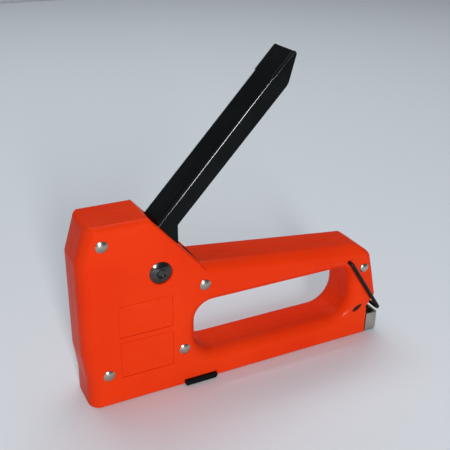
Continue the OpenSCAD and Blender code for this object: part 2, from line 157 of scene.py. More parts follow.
lens = bpy.data.cameras.new("view")
lens.lens, lens.sensor_width = LENS, SENSOR
camera = bpy.data.objects.new("view", lens)
bpy.context.scene.collection.objects.link(camera)
camera.matrix_world = Matrix((right, up, back)).transposed().to_4x4()
camera.location = aim + back * DISTANCE
bpy.context.scene.camera = camera
bpy.context.scene.view_settings.view_transform = "Standard"
print("camera at", [round(v, 3) for v in camera.location])

# %% Stage
FLOOR_SIDE, FLOOR_NEAR, FLOOR_FAR = 2.5, -1.6, 1.2
SWEEP, SWEEP_STEPS = 0.9, 12
FLOOR_GAP = 0.0002
SAME_PLACE = 1e-6
floor_mesh = bpy.data.meshes.new("floor")
sheet = bmesh.new()
edge = [sheet.verts.new((x, FLOOR_NEAR, 0)) for x in (-FLOOR_SIDE, FLOOR_SIDE)]
run = [sheet.edges.new(edge)]
for step in range(SWEEP_STEPS + 2):
    turn = radians(90) * max(step - 1, 0) / SWEEP_STEPS
    y, z = FLOOR_FAR + SWEEP * sin(turn), SWEEP * (1 - cos(turn))
    grown = bmesh.ops.extrude_edge_only(sheet, edges=run)["geom"]
    for v in verts_in(grown):
        v.co.y, v.co.z = y, z
    run = [e for e in edges_in(grown)
           if all(abs(v.co.y - y) < SAME_PLACE and abs(v.co.z - z) < SAME_PLACE
                  for v in e.verts)]
bmesh.ops.recalc_face_normals(sheet, faces=sheet.faces)
sheet.to_mesh(floor_mesh)
sheet.free()
floor_mesh.polygons.foreach_set("use_smooth", [True] * len(floor_mesh.polygons))
floor = bpy.data.objects.new("floor", floor_mesh)
bpy.context.scene.collection.objects.link(floor)
floor.location.z = cad_low.z - FLOOR_GAP
floor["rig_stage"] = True
print("floor at", round(floor.location.z / MM, 2), "mm")


# %% Lights
SOFTBOXES = [  # name, place from the middle and size in metres, watts
    ("near_flank", (-0.22, -0.86, 0.27), (0.11, 0.32), 5.7),
    ("overhead", (0.10, 0.35, 1.10), (1.2, 0.9), 4.6),
    ("backdrop_wash", (0.1, 0.9, 1.3), (1.6, 0.5), 5.0)]
ROOM_TINT, ROOM_LEVEL = (0.86, 0.92, 1, 1), 0.17


def softbox(name, place, size, watts):
    data = bpy.data.lights.new(name, "AREA")
    data.shape, data.size, data.size_y = "RECTANGLE", size[0], size[1]
    data.energy = watts
    lamp = bpy.data.objects.new(name, data)
    bpy.context.scene.collection.objects.link(lamp)
    lamp.location = middle + Vector(place)
    lamp.rotation_euler = (middle - lamp.location).to_track_quat("-Z", "Y").to_euler()


for box in SOFTBOXES:
    softbox(*box)
world = bpy.data.worlds.new("studio")
bpy.context.scene.world = world
world.use_nodes = True
room = world.node_tree.nodes["Background"]
room.inputs["Color"].default_value = ROOM_TINT
room.inputs["Strength"].default_value = ROOM_LEVEL

# %% [markdown]
# ## A small language for finishes
# Node trees are easier to read as sums. `Wire` wraps one socket, so that `grain * 0.3 + 0.2`
# adds the Math nodes by itself, and `Finish.node` makes any other node from its type, its
# settings and the values or wires of its sockets.


# %% Shader helpers
class Wire:
    """One output socket that can be added, multiplied or subtracted."""

    def __init__(self, finish, socket):
        self.finish, self.socket = finish, socket

    def maths(self, operation, first, second):
        return self.finish.node("ShaderNodeMath", {"operation": operation}, [first, second])

    def __add__(self, other):
        return self.maths("ADD", self, other)

    def __mul__(self, other):
        return self.maths("MULTIPLY", self, other)

    def __sub__(self, other):
        return self.maths("SUBTRACT", self, other)

    def __rsub__(self, other):
        return self.maths("SUBTRACT", other, self)

    __radd__, __rmul__ = __add__, __mul__


class Finish:
    """A procedural material, with helpers that fill its node tree."""

    def __init__(self, name):
        self.material = bpy.data.materials.new(name)
        self.material.use_nodes = True
        self.tree = self.material.node_tree
        self.shader = self.tree.nodes["Principled BSDF"]
        self.place = self.node("ShaderNodeTexCoord", {}, {}, "Object")

    def node(self, kind, settings, sockets, output=0):
        made = self.tree.nodes.new(kind)
        for key, value in settings.items():
            if key == "stops":
                for stop, (position, colour) in zip(self.stops(made, len(value)), value):
                    stop.position, stop.color = position, colour
            else:
                setattr(made, key, value)
        pairs = sockets.items() if isinstance(sockets, dict) else enumerate(sockets)
        for key, value in pairs:
            self.feed(made.inputs[key], value)
        return Wire(self, made.outputs[output])

    def stops(self, ramp, count):
        elements = ramp.color_ramp.elements
        while len(elements) < count:
            elements.new(1)
        return elements

    def feed(self, socket, value):
        if isinstance(value, Wire):
            self.tree.links.new(value.socket, socket)
        else:
            socket.default_value = value

    def set(self, **values):
        for key, value in values.items():
            self.feed(self.shader.inputs[key.replace("_", " ")], value)

    def noise(self, scale, detail, stretch=(1, 1, 1), roughness=0.5):
        spot = self.node("ShaderNodeMapping", {}, {"Vector": self.place, "Scale": stretch},
                         "Vector")
        return self.node("ShaderNodeTexNoise", {}, {
            "Vector": spot, "Scale": scale, "Detail": detail, "Roughness": roughness})

    def ramp(self, value, *stops):
        whites = [(spot, (level, level, level, 1)) for spot, level in stops]
        return self.node("ShaderNodeValToRGB", {"stops": whites}, {"Fac": value})

    def mix(self, amount, first, second):
        factor, colour_a, colour_b, mixed_colour = 0, 6, 7, 2
        return self.node("ShaderNodeMix", {"data_type": "RGBA"},
                         {factor: amount, colour_a: first, colour_b: second}, mixed_colour)

    def bump(self, height, strength, depth):
        relief = self.node("ShaderNodeBump", {}, {
            "Height": height, "Strength": strength, "Distance": depth})
        self.set(Normal=relief)


print("finish helpers ready")

# %% [markdown]
# ## The finishes
# The case is a dense orange-red plastic with a satin gloss. A flat colour would look like
# paint, so a slow noise shifts it between a yellower and a redder orange, a fine grain gives
# the moulded skin, and faint scuffs lighten the colour a little and roughen it.


# %% Moulded plastic
REDDER, YELLOWER = (0.78, 0.034, 0.0035, 1), (0.83, 0.044, 0.005, 1)
SCUFFED = (0.84, 0.10, 0.04, 1)


def moulded_plastic():
    f = Finish("orange_plastic")
    cloud = f.ramp(f.noise(22, 2), (0.35, 0), (0.65, 1))
    grain = f.noise(2400, 2)
    scuff = f.ramp(f.noise(90, 5, (1, 1, 3), 0.65), (0.55, 0), (0.75, 1))
    colour = f.mix(cloud, REDDER, YELLOWER)
    f.set(Base_Color=f.mix(scuff * 0.10, colour, SCUFFED))
    f.set(Roughness=0.30 + grain * 0.06 + scuff * 0.10)
    f.set(Specular_IOR_Level=0.03, Coat_Weight=0.06, Coat_Roughness=0.12)
    f.bump(grain * 0.7 + f.noise(260, 3) * 0.6, 0.10, 0.00012)
    return f.material


ORANGE = moulded_plastic()
print("made", ORANGE.name)

# %% [markdown]
# Enamel on pressed steel is a smooth black skin with a little orange peel. Handling rubs it
# dull in patches and polishes it along the lever's folds, which lie at a known distance from
# the seam, and specks of dust break the reflection. The metal finishes share one function:
# a tint, a base roughness, and how strongly the rolling or drawing lines show.


# %% Enamel, plate, steel and rubber
ENAMEL, ENAMEL_DUST = (0.0030, 0.0042, 0.0040, 1), (0.020, 0.022, 0.021, 1)
CM = 100
# Polished bands, as centimetres from the seam and polish: the lever's fold, then its seat's.
LEVER_FOLD = ((0.70, 0), (0.76, 1), (0.83, 1), (0.845, 0))
SEAT_FOLD = ((0.855, 0), (0.865, 1), (0.895, 1), (0.905, 0))


def enamel():
    f = Finish("black_enamel")
    peel = f.noise(420, 2)
    rub = f.ramp(f.noise(55, 4), (0.42, 0), (0.72, 1))
    dust = f.ramp(f.noise(1500, 1), (0.70, 0), (0.78, 1))
    f.set(Base_Color=f.mix(dust * 0.25 + rub * 0.15, ENAMEL, ENAMEL_DUST))
    side = f.node("ShaderNodeSeparateXYZ", {}, {0: f.place}, "Y")
    across = f.node("ShaderNodeMath", {"operation": "ABSOLUTE"}, [side])
    fold = f.ramp(across * CM, *LEVER_FOLD, *SEAT_FOLD)
    f.set(Roughness=0.22 + rub * 0.12 + dust * 0.10 - fold * 0.08)
    f.set(Coat_Weight=0.12 + fold * 0.85)
    f.set(Specular_IOR_Level=0.04, Coat_Roughness=0.12)
    f.bump(peel, 0.12, 0.00015)
    return f.material


def metal(name, tint, shade, rough, line=(1, 1, 1), line_scale=300, relief=0.05):
    f = Finish(name)
    lines = f.noise(line_scale, 3, line)
    stain = f.ramp(f.noise(120, 4), (0.4, 0), (0.7, 1))
    f.set(Base_Color=f.mix(stain * 0.6 + lines * 0.25, tint, shade), Metallic=1.0)
    f.set(Roughness=rough + lines * 0.10 + stain * 0.08)
    f.bump(lines, relief, 0.00008)
    return f.material


def rubber():
    f = Finish("black_rubber")
    pores = f.noise(900, 4)
    f.set(Base_Color=f.mix(pores, (0.012, 0.012, 0.012, 1), (0.03, 0.03, 0.03, 1)))
    f.set(Roughness=0.62 + pores * 0.2)
    f.bump(pores, 0.3, 0.0002)
    return f.material


FINISHES = {
    "case_plastic": ORANGE,
    "black_enamel": enamel(),
    "bright_plate": metal("nickel_plate", (0.50, 0.47, 0.41, 1), (0.32, 0.30, 0.26, 1), 0.16),
    "dark_plate": metal("black_nickel", (0.10, 0.095, 0.09, 1), (0.05, 0.047, 0.044, 1), 0.08),
    "sheet_steel": metal("zinc_sheet", (0.60, 0.61, 0.61, 1), (0.42, 0.43, 0.44, 1), 0.28,
                         line=(0.15, 1, 1), line_scale=900, relief=0.12),
    "spring_steel": metal("spring_wire", (0.36, 0.34, 0.32, 1), (0.2, 0.19, 0.18, 1), 0.26,
                          line_scale=700, relief=0.10),
    "black_wire": metal("black_oxide", (0.040, 0.034, 0.030, 1), (0.015, 0.013, 0.012, 1),
                        0.30, line_scale=500, relief=0.10),
    "hard_steel": metal("oiled_steel", (0.33, 0.33, 0.34, 1), (0.18, 0.18, 0.19, 1), 0.24,
                        line=(0.2, 1, 1), line_scale=700, relief=0.10),
    "bumper_rubber": rubber(),
}
BACKDROP_LOW, BACKDROP_HIGH = (0.78, 0.83, 0.88, 1), (0.82, 0.87, 0.92, 1)

backdrop = Finish("backdrop")
haze = backdrop.noise(1.2, 2)
backdrop.set(Base_Color=backdrop.mix(haze, BACKDROP_LOW, BACKDROP_HIGH))
backdrop.set(Roughness=0.9 - haze * 0.1)
floor_mesh.materials.append(backdrop.material)

SLOT_OF = {s["node"]: s["material_slot"] for s in frame["record"]["subparts"]}
for name, node in nodes.items():
    node.data.materials.clear()
    node.data.materials.append(FINISHES[SLOT_OF[name]])
print("finishes:", sorted(FINISHES))

# %% [markdown]
# ## Helpers for shaping
# Each new piece is shaped as a bmesh, cleaned as it becomes an object, and handed over by
# one function, which marks its sharp edges, gives it its finish, makes it ride on its body
# and hides the design node it stands for. Holes and windows are cut with booleans, as a
# toolmaker cuts them into a block that already has its outer form.


# %% Handing a piece over
MERGE = 1e-7


def to_object(bm, name):
    bmesh.ops.remove_doubles(bm, verts=bm.verts, dist=MERGE)
    bmesh.ops.recalc_face_normals(bm, faces=bm.faces)
    mesh = bpy.data.meshes.new(name)
    bm.to_mesh(mesh)
    bm.free()
    made = bpy.data.objects.new(name, mesh)
    bpy.context.scene.collection.objects.link(made)
    return made


def combine(piece, tool, operation):
    step = piece.modifiers.new("combine", "BOOLEAN")
    step.object, step.operation, step.solver = tool, operation, "EXACT"
    graph = bpy.context.evaluated_depsgraph_get()
    result = bpy.data.meshes.new_from_object(piece.evaluated_get(graph))
    piece.modifiers.remove(step)
    old = piece.data
    piece.data = result
    bpy.data.meshes.remove(old)
    bpy.data.objects.remove(tool)


def cut(piece, tool):
    combine(piece, tool, "DIFFERENCE")


def hand_over(piece, node, sharp=32, rides=True):
    mesh = piece.data
    mesh.materials.clear()
    mesh.materials.append(FINISHES[SLOT_OF[node]])
    mesh.polygons.foreach_set("material_index", [0] * len(mesh.polygons))
    mesh.polygons.foreach_set("use_smooth", [True] * len(mesh.polygons))
    mesh.set_sharp_from_angle(angle=radians(sharp))
    shading = piece.modifiers.new("even_shading", "WEIGHTED_NORMAL")
    shading.keep_sharp = True
    if rides:
        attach(piece, nodes[node]["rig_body"])
    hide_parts(node)
    print(piece.name, "has", len(mesh.polygons), "faces")
    return piece


# %% [markdown]
# Most outlines here are a few corners with rounded turns. A corner is written as
# (behind the nose, height, corner radius, edge radius), with the material on its left, and
# its edge radius is the fillet along the side that starts there. `ring` gives the outline
# after each side has moved in by a share of its own edge radius. `feathered` adds marks to
# a side whose neighbour is rounder: extra points that slide along as the corner moves in.

# %% Outlines with rounded corners
STEPS = 8
PARALLEL = 1e-4
LEAST_R = 1e-4
MARK_ROOM = 0.3


def meet(p, a, q, b):
    cross = a.cross(b)
    if abs(cross) < PARALLEL:
        return (p + q) / 2
    return p + a * ((q - p).cross(b) / cross)


def turn_points(tip, into, out, radius):
    if radius == 0:
        return [tip]
    side = 1 if into.cross(out) > 0 else -1
    swing = acos(max(-1, min(1, into.dot(out))))
    start = tip - into * radius * tan(swing / 2)
    centre = start + Vector((-into.y, into.x)) * radius * side
    begin = atan2(start.y - centre.y, start.x - centre.x)
    angles = [begin + side * swing * k / STEPS for k in range(STEPS + 1)]
    return [centre + Vector((cos(a), sin(a))) * radius for a in angles]


def ring(corners, share):
    count = len(corners)
    spots = [Vector(c[:2]) for c in corners]
    ways = [(spots[(i + 1) % count] - spots[i]).normalized() for i in range(count)]
    moved = [spots[i] + Vector((-ways[i].y, ways[i].x)) * corners[i][3] * share
             for i in range(count)]
    turns = []
    for i in range(count):
        into, out = ways[i - 1], ways[i]
        tip = meet(moved[i - 1], into, moved[i], out)
        inset = (corners[i - 1][3] + corners[i][3]) / 2 * share
        radius = corners[i][2]
        if radius > 0:
            hollow = into.cross(out) <= 0
            radius = radius + inset if hollow else max(radius - inset, LEAST_R)
        turns.append(turn_points(tip, into, out, radius))
    points = []
    for i in range(count):
        points += turns[i]
        near = (turns[i][-1] - moved[i]).dot(ways[i])
        far = (turns[(i + 1) % count][0] - moved[i]).dot(ways[i])
        for mark in corners[i][4:]:
            points.append(moved[i] + ways[i] * max(near, min(far, mark)))
    return points


def feathered(corners, levels):
    out = []
    for i, corner in enumerate(corners):
        following = corners[(i + 1) % len(corners)]
        length = (Vector(following[:2]) - Vector(corner[:2])).length
        before, after = corners[i - 1][3], following[3]
        marks = [before * s for s in levels if before > corner[3]]
        marks += [length - after * s for s in reversed(levels) if after > corner[3]]
        room = (corner[2] + MARK_ROOM, length - following[2] - MARK_ROOM)
        out.append(corner + tuple(m for m in sorted(marks) if room[0] < m < room[1]))
    return out


print("a square with round corners has", len(ring([(0, 0, 1, 0), (9, 0, 1, 0), (9, 9, 1, 0),
                                                  (0, 9, 1, 0)], 0)), "points")

# %% [markdown]
# A half of the case is a thick plate whose rim is rounded over by a different radius on
# each side: 7 mm at the nose, 6 mm where the hand goes, 3 mm on top and about 1 mm at the
# base. The plate is grown ring by ring with the extrude operator. Each new ring is drawn
# in, and its distance from the seam follows the roundest fillet nearby, so that two
# fillets meet in a clean crease instead of a lump. The two flat sides are closed last.

# %% Rounded plates
RIM_STEPS = 9
LEVELS = [1 - cos(radians(90) * k / RIM_STEPS) for k in range(1, RIM_STEPS + 1)]
OVERRUN = 0.7
SEAM_GROOVE = 0.32
CLOSE_TOGETHER = 2e-6


def rim_height(point, rims):
    """Distance of a rim's point from the seam, by the roundest fillet that reaches it."""
    best = HALF_W
    for a, b, radius in rims:
        length, way = (b - a).length, (b - a).normalized()
        along = (point - a).dot(way)
        gap = (point - a - way * max(0, min(length, along))).length
        if gap < radius and -OVERRUN < along < length + OVERRUN:
            best = min(best, HALF_W - radius + sqrt(radius ** 2 - (radius - gap) ** 2))
    return best


def rims_of(corners):
    """Pieces of the outline with their edge radii, for rim_height."""
    edge_of = []
    for i, corner in enumerate(corners):
        share = STEPS if corner[2] else 0
        for k in range(share):
            blend = (k + 0.5) / share
            edge_of.append(corners[i - 1][3] * (1 - blend) + corner[3] * blend)
        edge_of += [corner[3]] * (1 + len(corner[4:]))
    line = ring(corners, 0)
    return [(line[i], line[(i + 1) % len(line)], edge_of[i]) for i in range(len(line))]


def grow(bm, verts, edges, targets):
    """Extrudes a loop of edges and moves each new vert to its own target."""
    grown = bmesh.ops.extrude_edge_only(bm, edges=edges)["geom"]
    fresh = set(verts_in(grown))
    partners = [next(e.other_vert(v) for e in v.link_edges if e.other_vert(v) in fresh)
                for v in verts]
    for vert, target in zip(partners, targets):
        vert.co = target
    return partners, [e for e in edges_in(grown) if fresh.issuperset(e.verts)]


def nearest(verts, spot):
    """The index of the vert that is nearest to a spot, seen from the side."""
    place = at(spot[0], verts[0].co.y / MM, spot[1])
    return min(range(len(verts)), key=lambda i: (verts[i].co - place).xz.length)


def stretch(verts, first, last):
    """The verts of a closed ring from one index to another, going forwards."""
    return [verts[(first + k) % len(verts)] for k in range((last - first) % len(verts) + 1)]


def close_flat(bm, outer, inner, cuts):
    """Fills the flat between two rings with two faces that meet at two short cuts."""
    (a0, b0), (a1, b1) = [(nearest(outer, spot), nearest(inner, spot)) for spot in cuts]
    bm.faces.new(stretch(outer, a0, a1) + stretch(inner, b1, b0))
    bm.faces.new(stretch(outer, a1, a0) + stretch(inner, b0, b1))


def rounded_plate(name, outer, inner, cuts):
    bm = bmesh.new()
    rims = [rim for corners in (outer, inner) for rim in rims_of(corners)]
    seam_rings, flank_rings = [], []
    for corners in (outer, inner):
        start = ring([c[:3] + (SEAM_GROOVE,) + c[4:] for c in corners], 1)
        verts = [bm.verts.new(at(p.x, 0, p.y)) for p in start]
        edges = [bm.edges.new((verts[i - 1], verts[i])) for i in range(len(verts))]
        seam_rings.append(verts)
        stages = [[(p, -SEAM_GROOVE) for p in ring(corners, 0)]]
        for share in [0] + LEVELS:
            stages.append([(p, -rim_height(p, rims)) for p in ring(corners, share)])
        for stage in stages:
            verts, edges = grow(bm, verts, edges, [at(p.x, y, p.y) for p, y in stage])
        flank_rings.append(verts)
    close_flat(bm, *seam_rings, cuts)
    close_flat(bm, *flank_rings, cuts)
    bmesh.ops.remove_doubles(bm, verts=bm.verts, dist=CLOSE_TOGETHER)
    return to_object(bm, name)


print("levels of a fillet:", [round(s, 3) for s in LEVELS])

# %% [markdown]
# ## The case halves
# One outline runs round the block over the hammer, the shoulder, the grip and the rear
# block, and a second one is the finger opening. The design file's cavities, windows, bores
# and shallow flank panels are then cut into the plate. The rivets' bosses are taken out of
# the cavity's tool first, so that they are left standing in the case.

# %% Outer forms
NOSE_R, HAND_R, TOP_R, BASE_R, REAR_R, SHOULDER_R = 7, 6, 3, 1.2, 2.5, 1.5
CASE_TOP, TOP_REAR, GRIP_REAR = 92, 32.7, 148
GRIP_START, GRIP_HEIGHT = 58, 63.9
SHOULDER = tan(radians(47.8))
FALL = tan(radians(6.3))
OPENING_FRONT, OPENING_REAR, OPENING_LOW, OPENING_TOP = 55.5, 145, 13.2, 42.4


def grip_line(behind):
    return GRIP_HEIGHT - FALL * (behind - GRIP_START)


foot = ((CASE_TOP + SHOULDER * TOP_REAR - GRIP_HEIGHT - FALL * GRIP_START)
        / (SHOULDER - FALL))
case_corners = feathered([
    (1.8, 0, 0, BASE_R), (156, 0, 0, BASE_R), (156, 15.8, 1.5, REAR_R),
    (161, 22.5, 2.7, REAR_R), (156.8, 40, 8, REAR_R), (154.4, 49.3, 4.5, 4),
    (GRIP_REAR, grip_line(GRIP_REAR), 6.5, HAND_R), (foot, grip_line(foot), 0, SHOULDER_R),
    (TOP_REAR, CASE_TOP, 1.5, TOP_R), (5.2, CASE_TOP, 3, NOSE_R), (0, 75, 6, NOSE_R),
    (0, 27, 6, NOSE_R), (1.8, 13, 3, NOSE_R)], LEVELS)
opening_corners = [
    (OPENING_FRONT, OPENING_TOP, 9, HAND_R), (OPENING_REAR, OPENING_TOP, 9, HAND_R),
    (OPENING_REAR, OPENING_LOW, 12, HAND_R), (OPENING_FRONT, OPENING_LOW, 12, HAND_R)]
print("the shoulder meets the grip", round(foot, 1), "mm behind the nose")


# %% Cutting tools for the inside
def drawn_out(points, shift):
    """A solid from a flat outline, drawn out by a shift in millimetres."""
    bm = bmesh.new()
    face = bm.faces.new([bm.verts.new(point) for point in points])
    grown = bmesh.ops.extrude_face_region(bm, geom=[face])["geom"]
    bmesh.ops.translate(bm, verts=verts_in(grown), vec=Vector(shift) * MM)
    return bm


def slab_tool(points, y0, y1):
    return to_object(drawn_out([at(x, y0, z) for x, z in points], (0, y1 - y0, 0)), "tool")


def round_tool(centre, axis, radius, length, around):
    bm = bmesh.new()
    turn = Matrix.Translation(centre) @ Matrix.Rotation(pi / 2, 4, axis)
    bmesh.ops.create_cone(bm, cap_ends=True, segments=around, radius1=radius * MM,
                          radius2=radius * MM, depth=length * MM, matrix=turn)
    return to_object(bm, "tool")


def bar_tool(spot, radius, y0, y1, around=40):
    return round_tool(at(spot[0], (y0 + y1) / 2, spot[1]), "X", radius, y1 - y0, around)


def round_over(bm, edges, radius, segments):
    bmesh.ops.bevel(bm, geom=edges, offset=radius * MM, offset_type="OFFSET",
                    segments=segments, profile=0.5, affect="EDGES", material=-1)


def box_points(x0, z0, x1, z1):
    return [(x0, z0), (x1, z0), (x1, z1), (x0, z1)]


def leaf_points(spot, tilt, length, width):
    """Two arcs that meet in points, as a list of places round the leaf."""
    r = (length ** 2 + width ** 2) / (4 * width)
    half = asin(length / 2 / r)
    points = []
    for side in (1, -1):
        for k in range(LEAF_STEPS):
            a = half - 2 * half * k / LEAF_STEPS
            x, z = side * r * sin(a), side * (r * cos(a) - r + width / 2)
            points.append((spot[0] + x * cos(tilt) - z * sin(tilt),
                           spot[1] + x * sin(tilt) + z * cos(tilt)))
    return points


LEAF_STEPS = 10
WALL, PIVOT, BAIL = 2.6, (37.6, 64.7), (141.1, 46.6)
CAVITY = HALF_W - WALL
RIVETS = [(11.1, 83.4, 2.75), (11, 17.1, 2.75), (48.65, 20.9, 2.75), (59.35, 53.5, 2.75),
          (150.9, 41.3, 2.5)]
CAVITIES = [
    [(4.6, 2.6), (52.9, 2.6), (52.9, 42), (56.5, 45.2), (56.5, 62.5), (32.2, 89), (9, 89),
     (4.6, 75)],
    [(50, 45.2), (147.9, 45.2), (147.9, grip_line(GRIP_REAR) - 2.8),
     (50, grip_line(50) - 4.8)],
    [(147.6, 2.7), (153.4, 2.7), (153.4, 17.3), (155.8, 23.5), (154, 38), (151, 47),
     (147.6, 48.9)],
    [(4.7, 2.5), (153.3, 2.5), (153.3, 11.4), (4.7, 11.4)]]
CHANNEL_HALF, LUG = 7.2, (48.5, 65.9)
OUTSIDE, PAST_SEAM = -20, 1
RIVET_BOSS_R, PIVOT_BOSS_R, PIVOT_BOSS_TOP = 3.4, 6.5, -8.9
RIVET_BORE_R, PIVOT_BORE_R, BAIL_BORE_R = 1.65, 3.05, 1.1
COUNTERBORE_R, PIVOT_SINK, COUNTERBORE_STEPS = 5.8, 0.6, 64
LEVER_WAY_HALF, GUIDE_WAY_HALF = 9.2, 8.7
LEAF_SPOT, LEAF_TILT, LEAF_SIZE = (149.3, 17.2), radians(31), (7, 2.8)
PANELS = [(16.7, 35.6, 26.3, 16.6), (17, 14, 26, 19)]
PANEL_LINE, PANEL_LINE_DEEP, PANEL_SLACK, PANEL_DEEP = 0.4, 0.45, 0.1, 0.2
print("rivets:", len(RIVETS), "cavities:", len(CAVITIES), "panels:", len(PANELS))


# %% One half of the case
def framed(x, z, wide, high, inset):
    """The corners of a flank panel, drawn in by the same amount on every side."""
    return box_points(x + inset, z + inset, x + wide - inset, z + high - inset)


def open_cavities(half):
    for points in CAVITIES:
        hollow = slab_tool(points, -CAVITY, PAST_SEAM)
        for x, z, _ in RIVETS:
            cut(hollow, bar_tool((x, z), RIVET_BOSS_R, OUTSIDE, PAST_SEAM + 1))
        cut(hollow, bar_tool(PIVOT, PIVOT_BOSS_R, OUTSIDE, PIVOT_BOSS_TOP))
        cut(half, hollow)


def open_ways(half):
    lever_way = [(35.4, 58), (57.5, 58), (57.5, 75), (69.5, 96), (35.4, 96)]
    cut(half, slab_tool(lever_way, -LEVER_WAY_HALF, PAST_SEAM))
    guide_way = box_points(3.1, -1.5, 6.4, 75)
    cut(half, slab_tool(guide_way, -GUIDE_WAY_HALF, PAST_SEAM + 0.5))
    cut(half, slab_tool(box_points(3, -1, 170, 12.6), -CHANNEL_HALF, PAST_SEAM))
    cut(half, slab_tool(box_points(LUG[0], -1, LUG[1], 2.9), OUTSIDE, PAST_SEAM))
    leaf = leaf_points(LEAF_SPOT, LEAF_TILT, *LEAF_SIZE)
    cut(half, slab_tool(leaf, OUTSIDE, PAST_SEAM))


def bore_through(half):
    for x, z, _ in RIVETS:
        cut(half, bar_tool((x, z), RIVET_BORE_R, OUTSIDE, PAST_SEAM))
    cut(half, bar_tool(PIVOT, PIVOT_BORE_R, OUTSIDE, PAST_SEAM))
    cut(half, bar_tool(PIVOT, COUNTERBORE_R, OUTSIDE, -HALF_W + PIVOT_SINK,
                       COUNTERBORE_STEPS))
    cut(half, bar_tool(BAIL, BAIL_BORE_R, OUTSIDE, PAST_SEAM))


def sink_panels(half):
    for panel in PANELS:
        line = slab_tool(framed(*panel, 0), OUTSIDE, -HALF_W + PANEL_LINE_DEEP)
        cut(line, slab_tool(framed(*panel, PANEL_LINE), OUTSIDE - 1, 0))
        cut(half, line)
        field = framed(*panel, PANEL_SLACK)
        cut(half, slab_tool(field, OUTSIDE, -HALF_W + PANEL_DEEP))


def case_half():
    half = rounded_plate("left_half", case_corners, opening_corners, [(62, 53), (154, 30)])
    for work in (open_cavities, open_ways, bore_through, sink_panels):
        work(half)
    return half


left = case_half()
flip = bmesh.new()
flip.from_mesh(left.data)
bmesh.ops.scale(flip, vec=(1, -1, 1), verts=flip.verts)
right_half = to_object(flip, "right_half")
hand_over(left, "left_shell")
hand_over(right_half, "right_shell")

# %% [markdown]
# ## Rivets and the lever's pivot
# A rivet is a turned shape: one profile, spun right round its axis. The spin operator makes
# it in one go. The small rivets have low domes, and the pivot has a wide dark dome with a
# dimple in its middle, which sits in a counterbore of the case.


# %% Turned cross pins
RIM_H, DIMPLE_DEEP = 0.25, 0.7
RIVET_SHANK, RIVET_DOME = 1.6, 0.85
PIVOT_SHANK, PIVOT_HEAD, PIVOT_DOME, PIVOT_DIMPLE = 3, 5.4, 1.35, 1.9


def turned_pin(bm, spot, shank, head, dome, seat, spin_steps=48, dome_steps=8, dimple=0):
    ball = (head ** 2 + dome ** 2) / (2 * dome)
    angles = [asin(head / ball) * k / dome_steps for k in range(dome_steps)]
    profile = [(ball * sin(a), seat + RIM_H + dome - ball + ball * cos(a)) for a in angles]
    profile.append((head, seat + RIM_H))
    if dimple:
        rim = next(i for i, (r, _) in enumerate(profile) if r > dimple)
        low = profile[rim][1] - DIMPLE_DEEP
        profile[:rim] = [(0, low), (dimple * 0.75, low), (dimple * 0.95, low + 0.25)]
    profile += [(head - 0.06, seat + 0.05), (head - 0.2, seat), (shank, seat)]
    profile += [(r, -y) for r, y in reversed(profile)]
    verts = [bm.verts.new(at(spot[0] + r, y, spot[1])) for r, y in profile]
    line = [bm.edges.new(pair) for pair in zip(verts, verts[1:])]
    bmesh.ops.spin(bm, geom=verts + line, cent=at(spot[0], 0, spot[1]), axis=(0, 1, 0),
                   angle=2 * pi, steps=spin_steps, use_merge=True)


rivets = bmesh.new()
for x, z, head in RIVETS:
    turned_pin(rivets, (x, z), RIVET_SHANK, head, RIVET_DOME, HALF_W)
hand_over(to_object(rivets, "case_rivets_turned"), "case_rivets")
pin = bmesh.new()
turned_pin(pin, PIVOT, PIVOT_SHANK, PIVOT_HEAD, PIVOT_DOME, HALF_W - PIVOT_SINK,
           spin_steps=72, dome_steps=12, dimple=PIVOT_DIMPLE)
hand_over(to_object(pin, "pivot_pin_turned"), "lever_pivot_pin")

# %% [markdown]
# ## The squeeze lever
# The lever starts as flat sheet: two side plates and the strip between them. Their shared
# edges are bevelled into bends, and the solidify operator gives the sheet its 1.5 mm. The
# tip is a little wider, as a seat for the bail.

# %% Lever
LEVER_ANGLE, LEVER_TOP, LEVER_LOW, LEVER_LEN = radians(47.3), 14.4, 5.9, 112.9
LEVER_HALF, SHEET, FOLD_R = 8.5, 1.5, 2.2
EAR_R, EAR_STEP = 9, 15


def along_lever(u, y, w):
    x = u * cos(LEVER_ANGLE) - w * sin(LEVER_ANGLE)
    z = u * sin(LEVER_ANGLE) + w * cos(LEVER_ANGLE)
    return at(PIVOT[0] + x, y, PIVOT[1] + z)


ear = [(EAR_R * cos(radians(a)), EAR_R * sin(radians(a)), 0, 0)
       for a in range(180, 331, EAR_STEP)]
plate_outline = ring([
    (LEVER_LEN - 0.45, LEVER_TOP, 0, 0), (-4, LEVER_TOP, 0, 0), *ear, (14.6, -0.7, 2, 0),
    (21.5, LEVER_LOW, 1.5, 0), (LEVER_LEN - 12.5, LEVER_LOW, 6, 0),
    (LEVER_LEN - 0.4, LEVER_TOP - 2.2, 0.8, 0), (LEVER_LEN, LEVER_TOP - 0.9, 0, 0)], 0)
top_normal = Vector((-sin(LEVER_ANGLE), 0, cos(LEVER_ANGLE)))

sheet = drawn_out([along_lever(p.x, -LEVER_HALF, p.y) for p in plate_outline],
                  (0, 2 * LEVER_HALF, 0))
bmesh.ops.recalc_face_normals(sheet, faces=sheet.faces)
edgewise = [f for f in sheet.faces if abs(f.normal.y) < 0.5]
top = max(edgewise, key=lambda f: f.normal.dot(top_normal) * f.calc_area())
bmesh.ops.delete(sheet, geom=[f for f in edgewise if f != top], context="FACES")
folds = [e for e in top.edges if len(e.link_faces) == 2]
round_over(sheet, folds, FOLD_R, 6)
bmesh.ops.solidify(sheet, geom=sheet.faces, thickness=SHEET * MM)
lever = to_object(sheet, "lever_pressing")
print("lever folds:", len(folds))

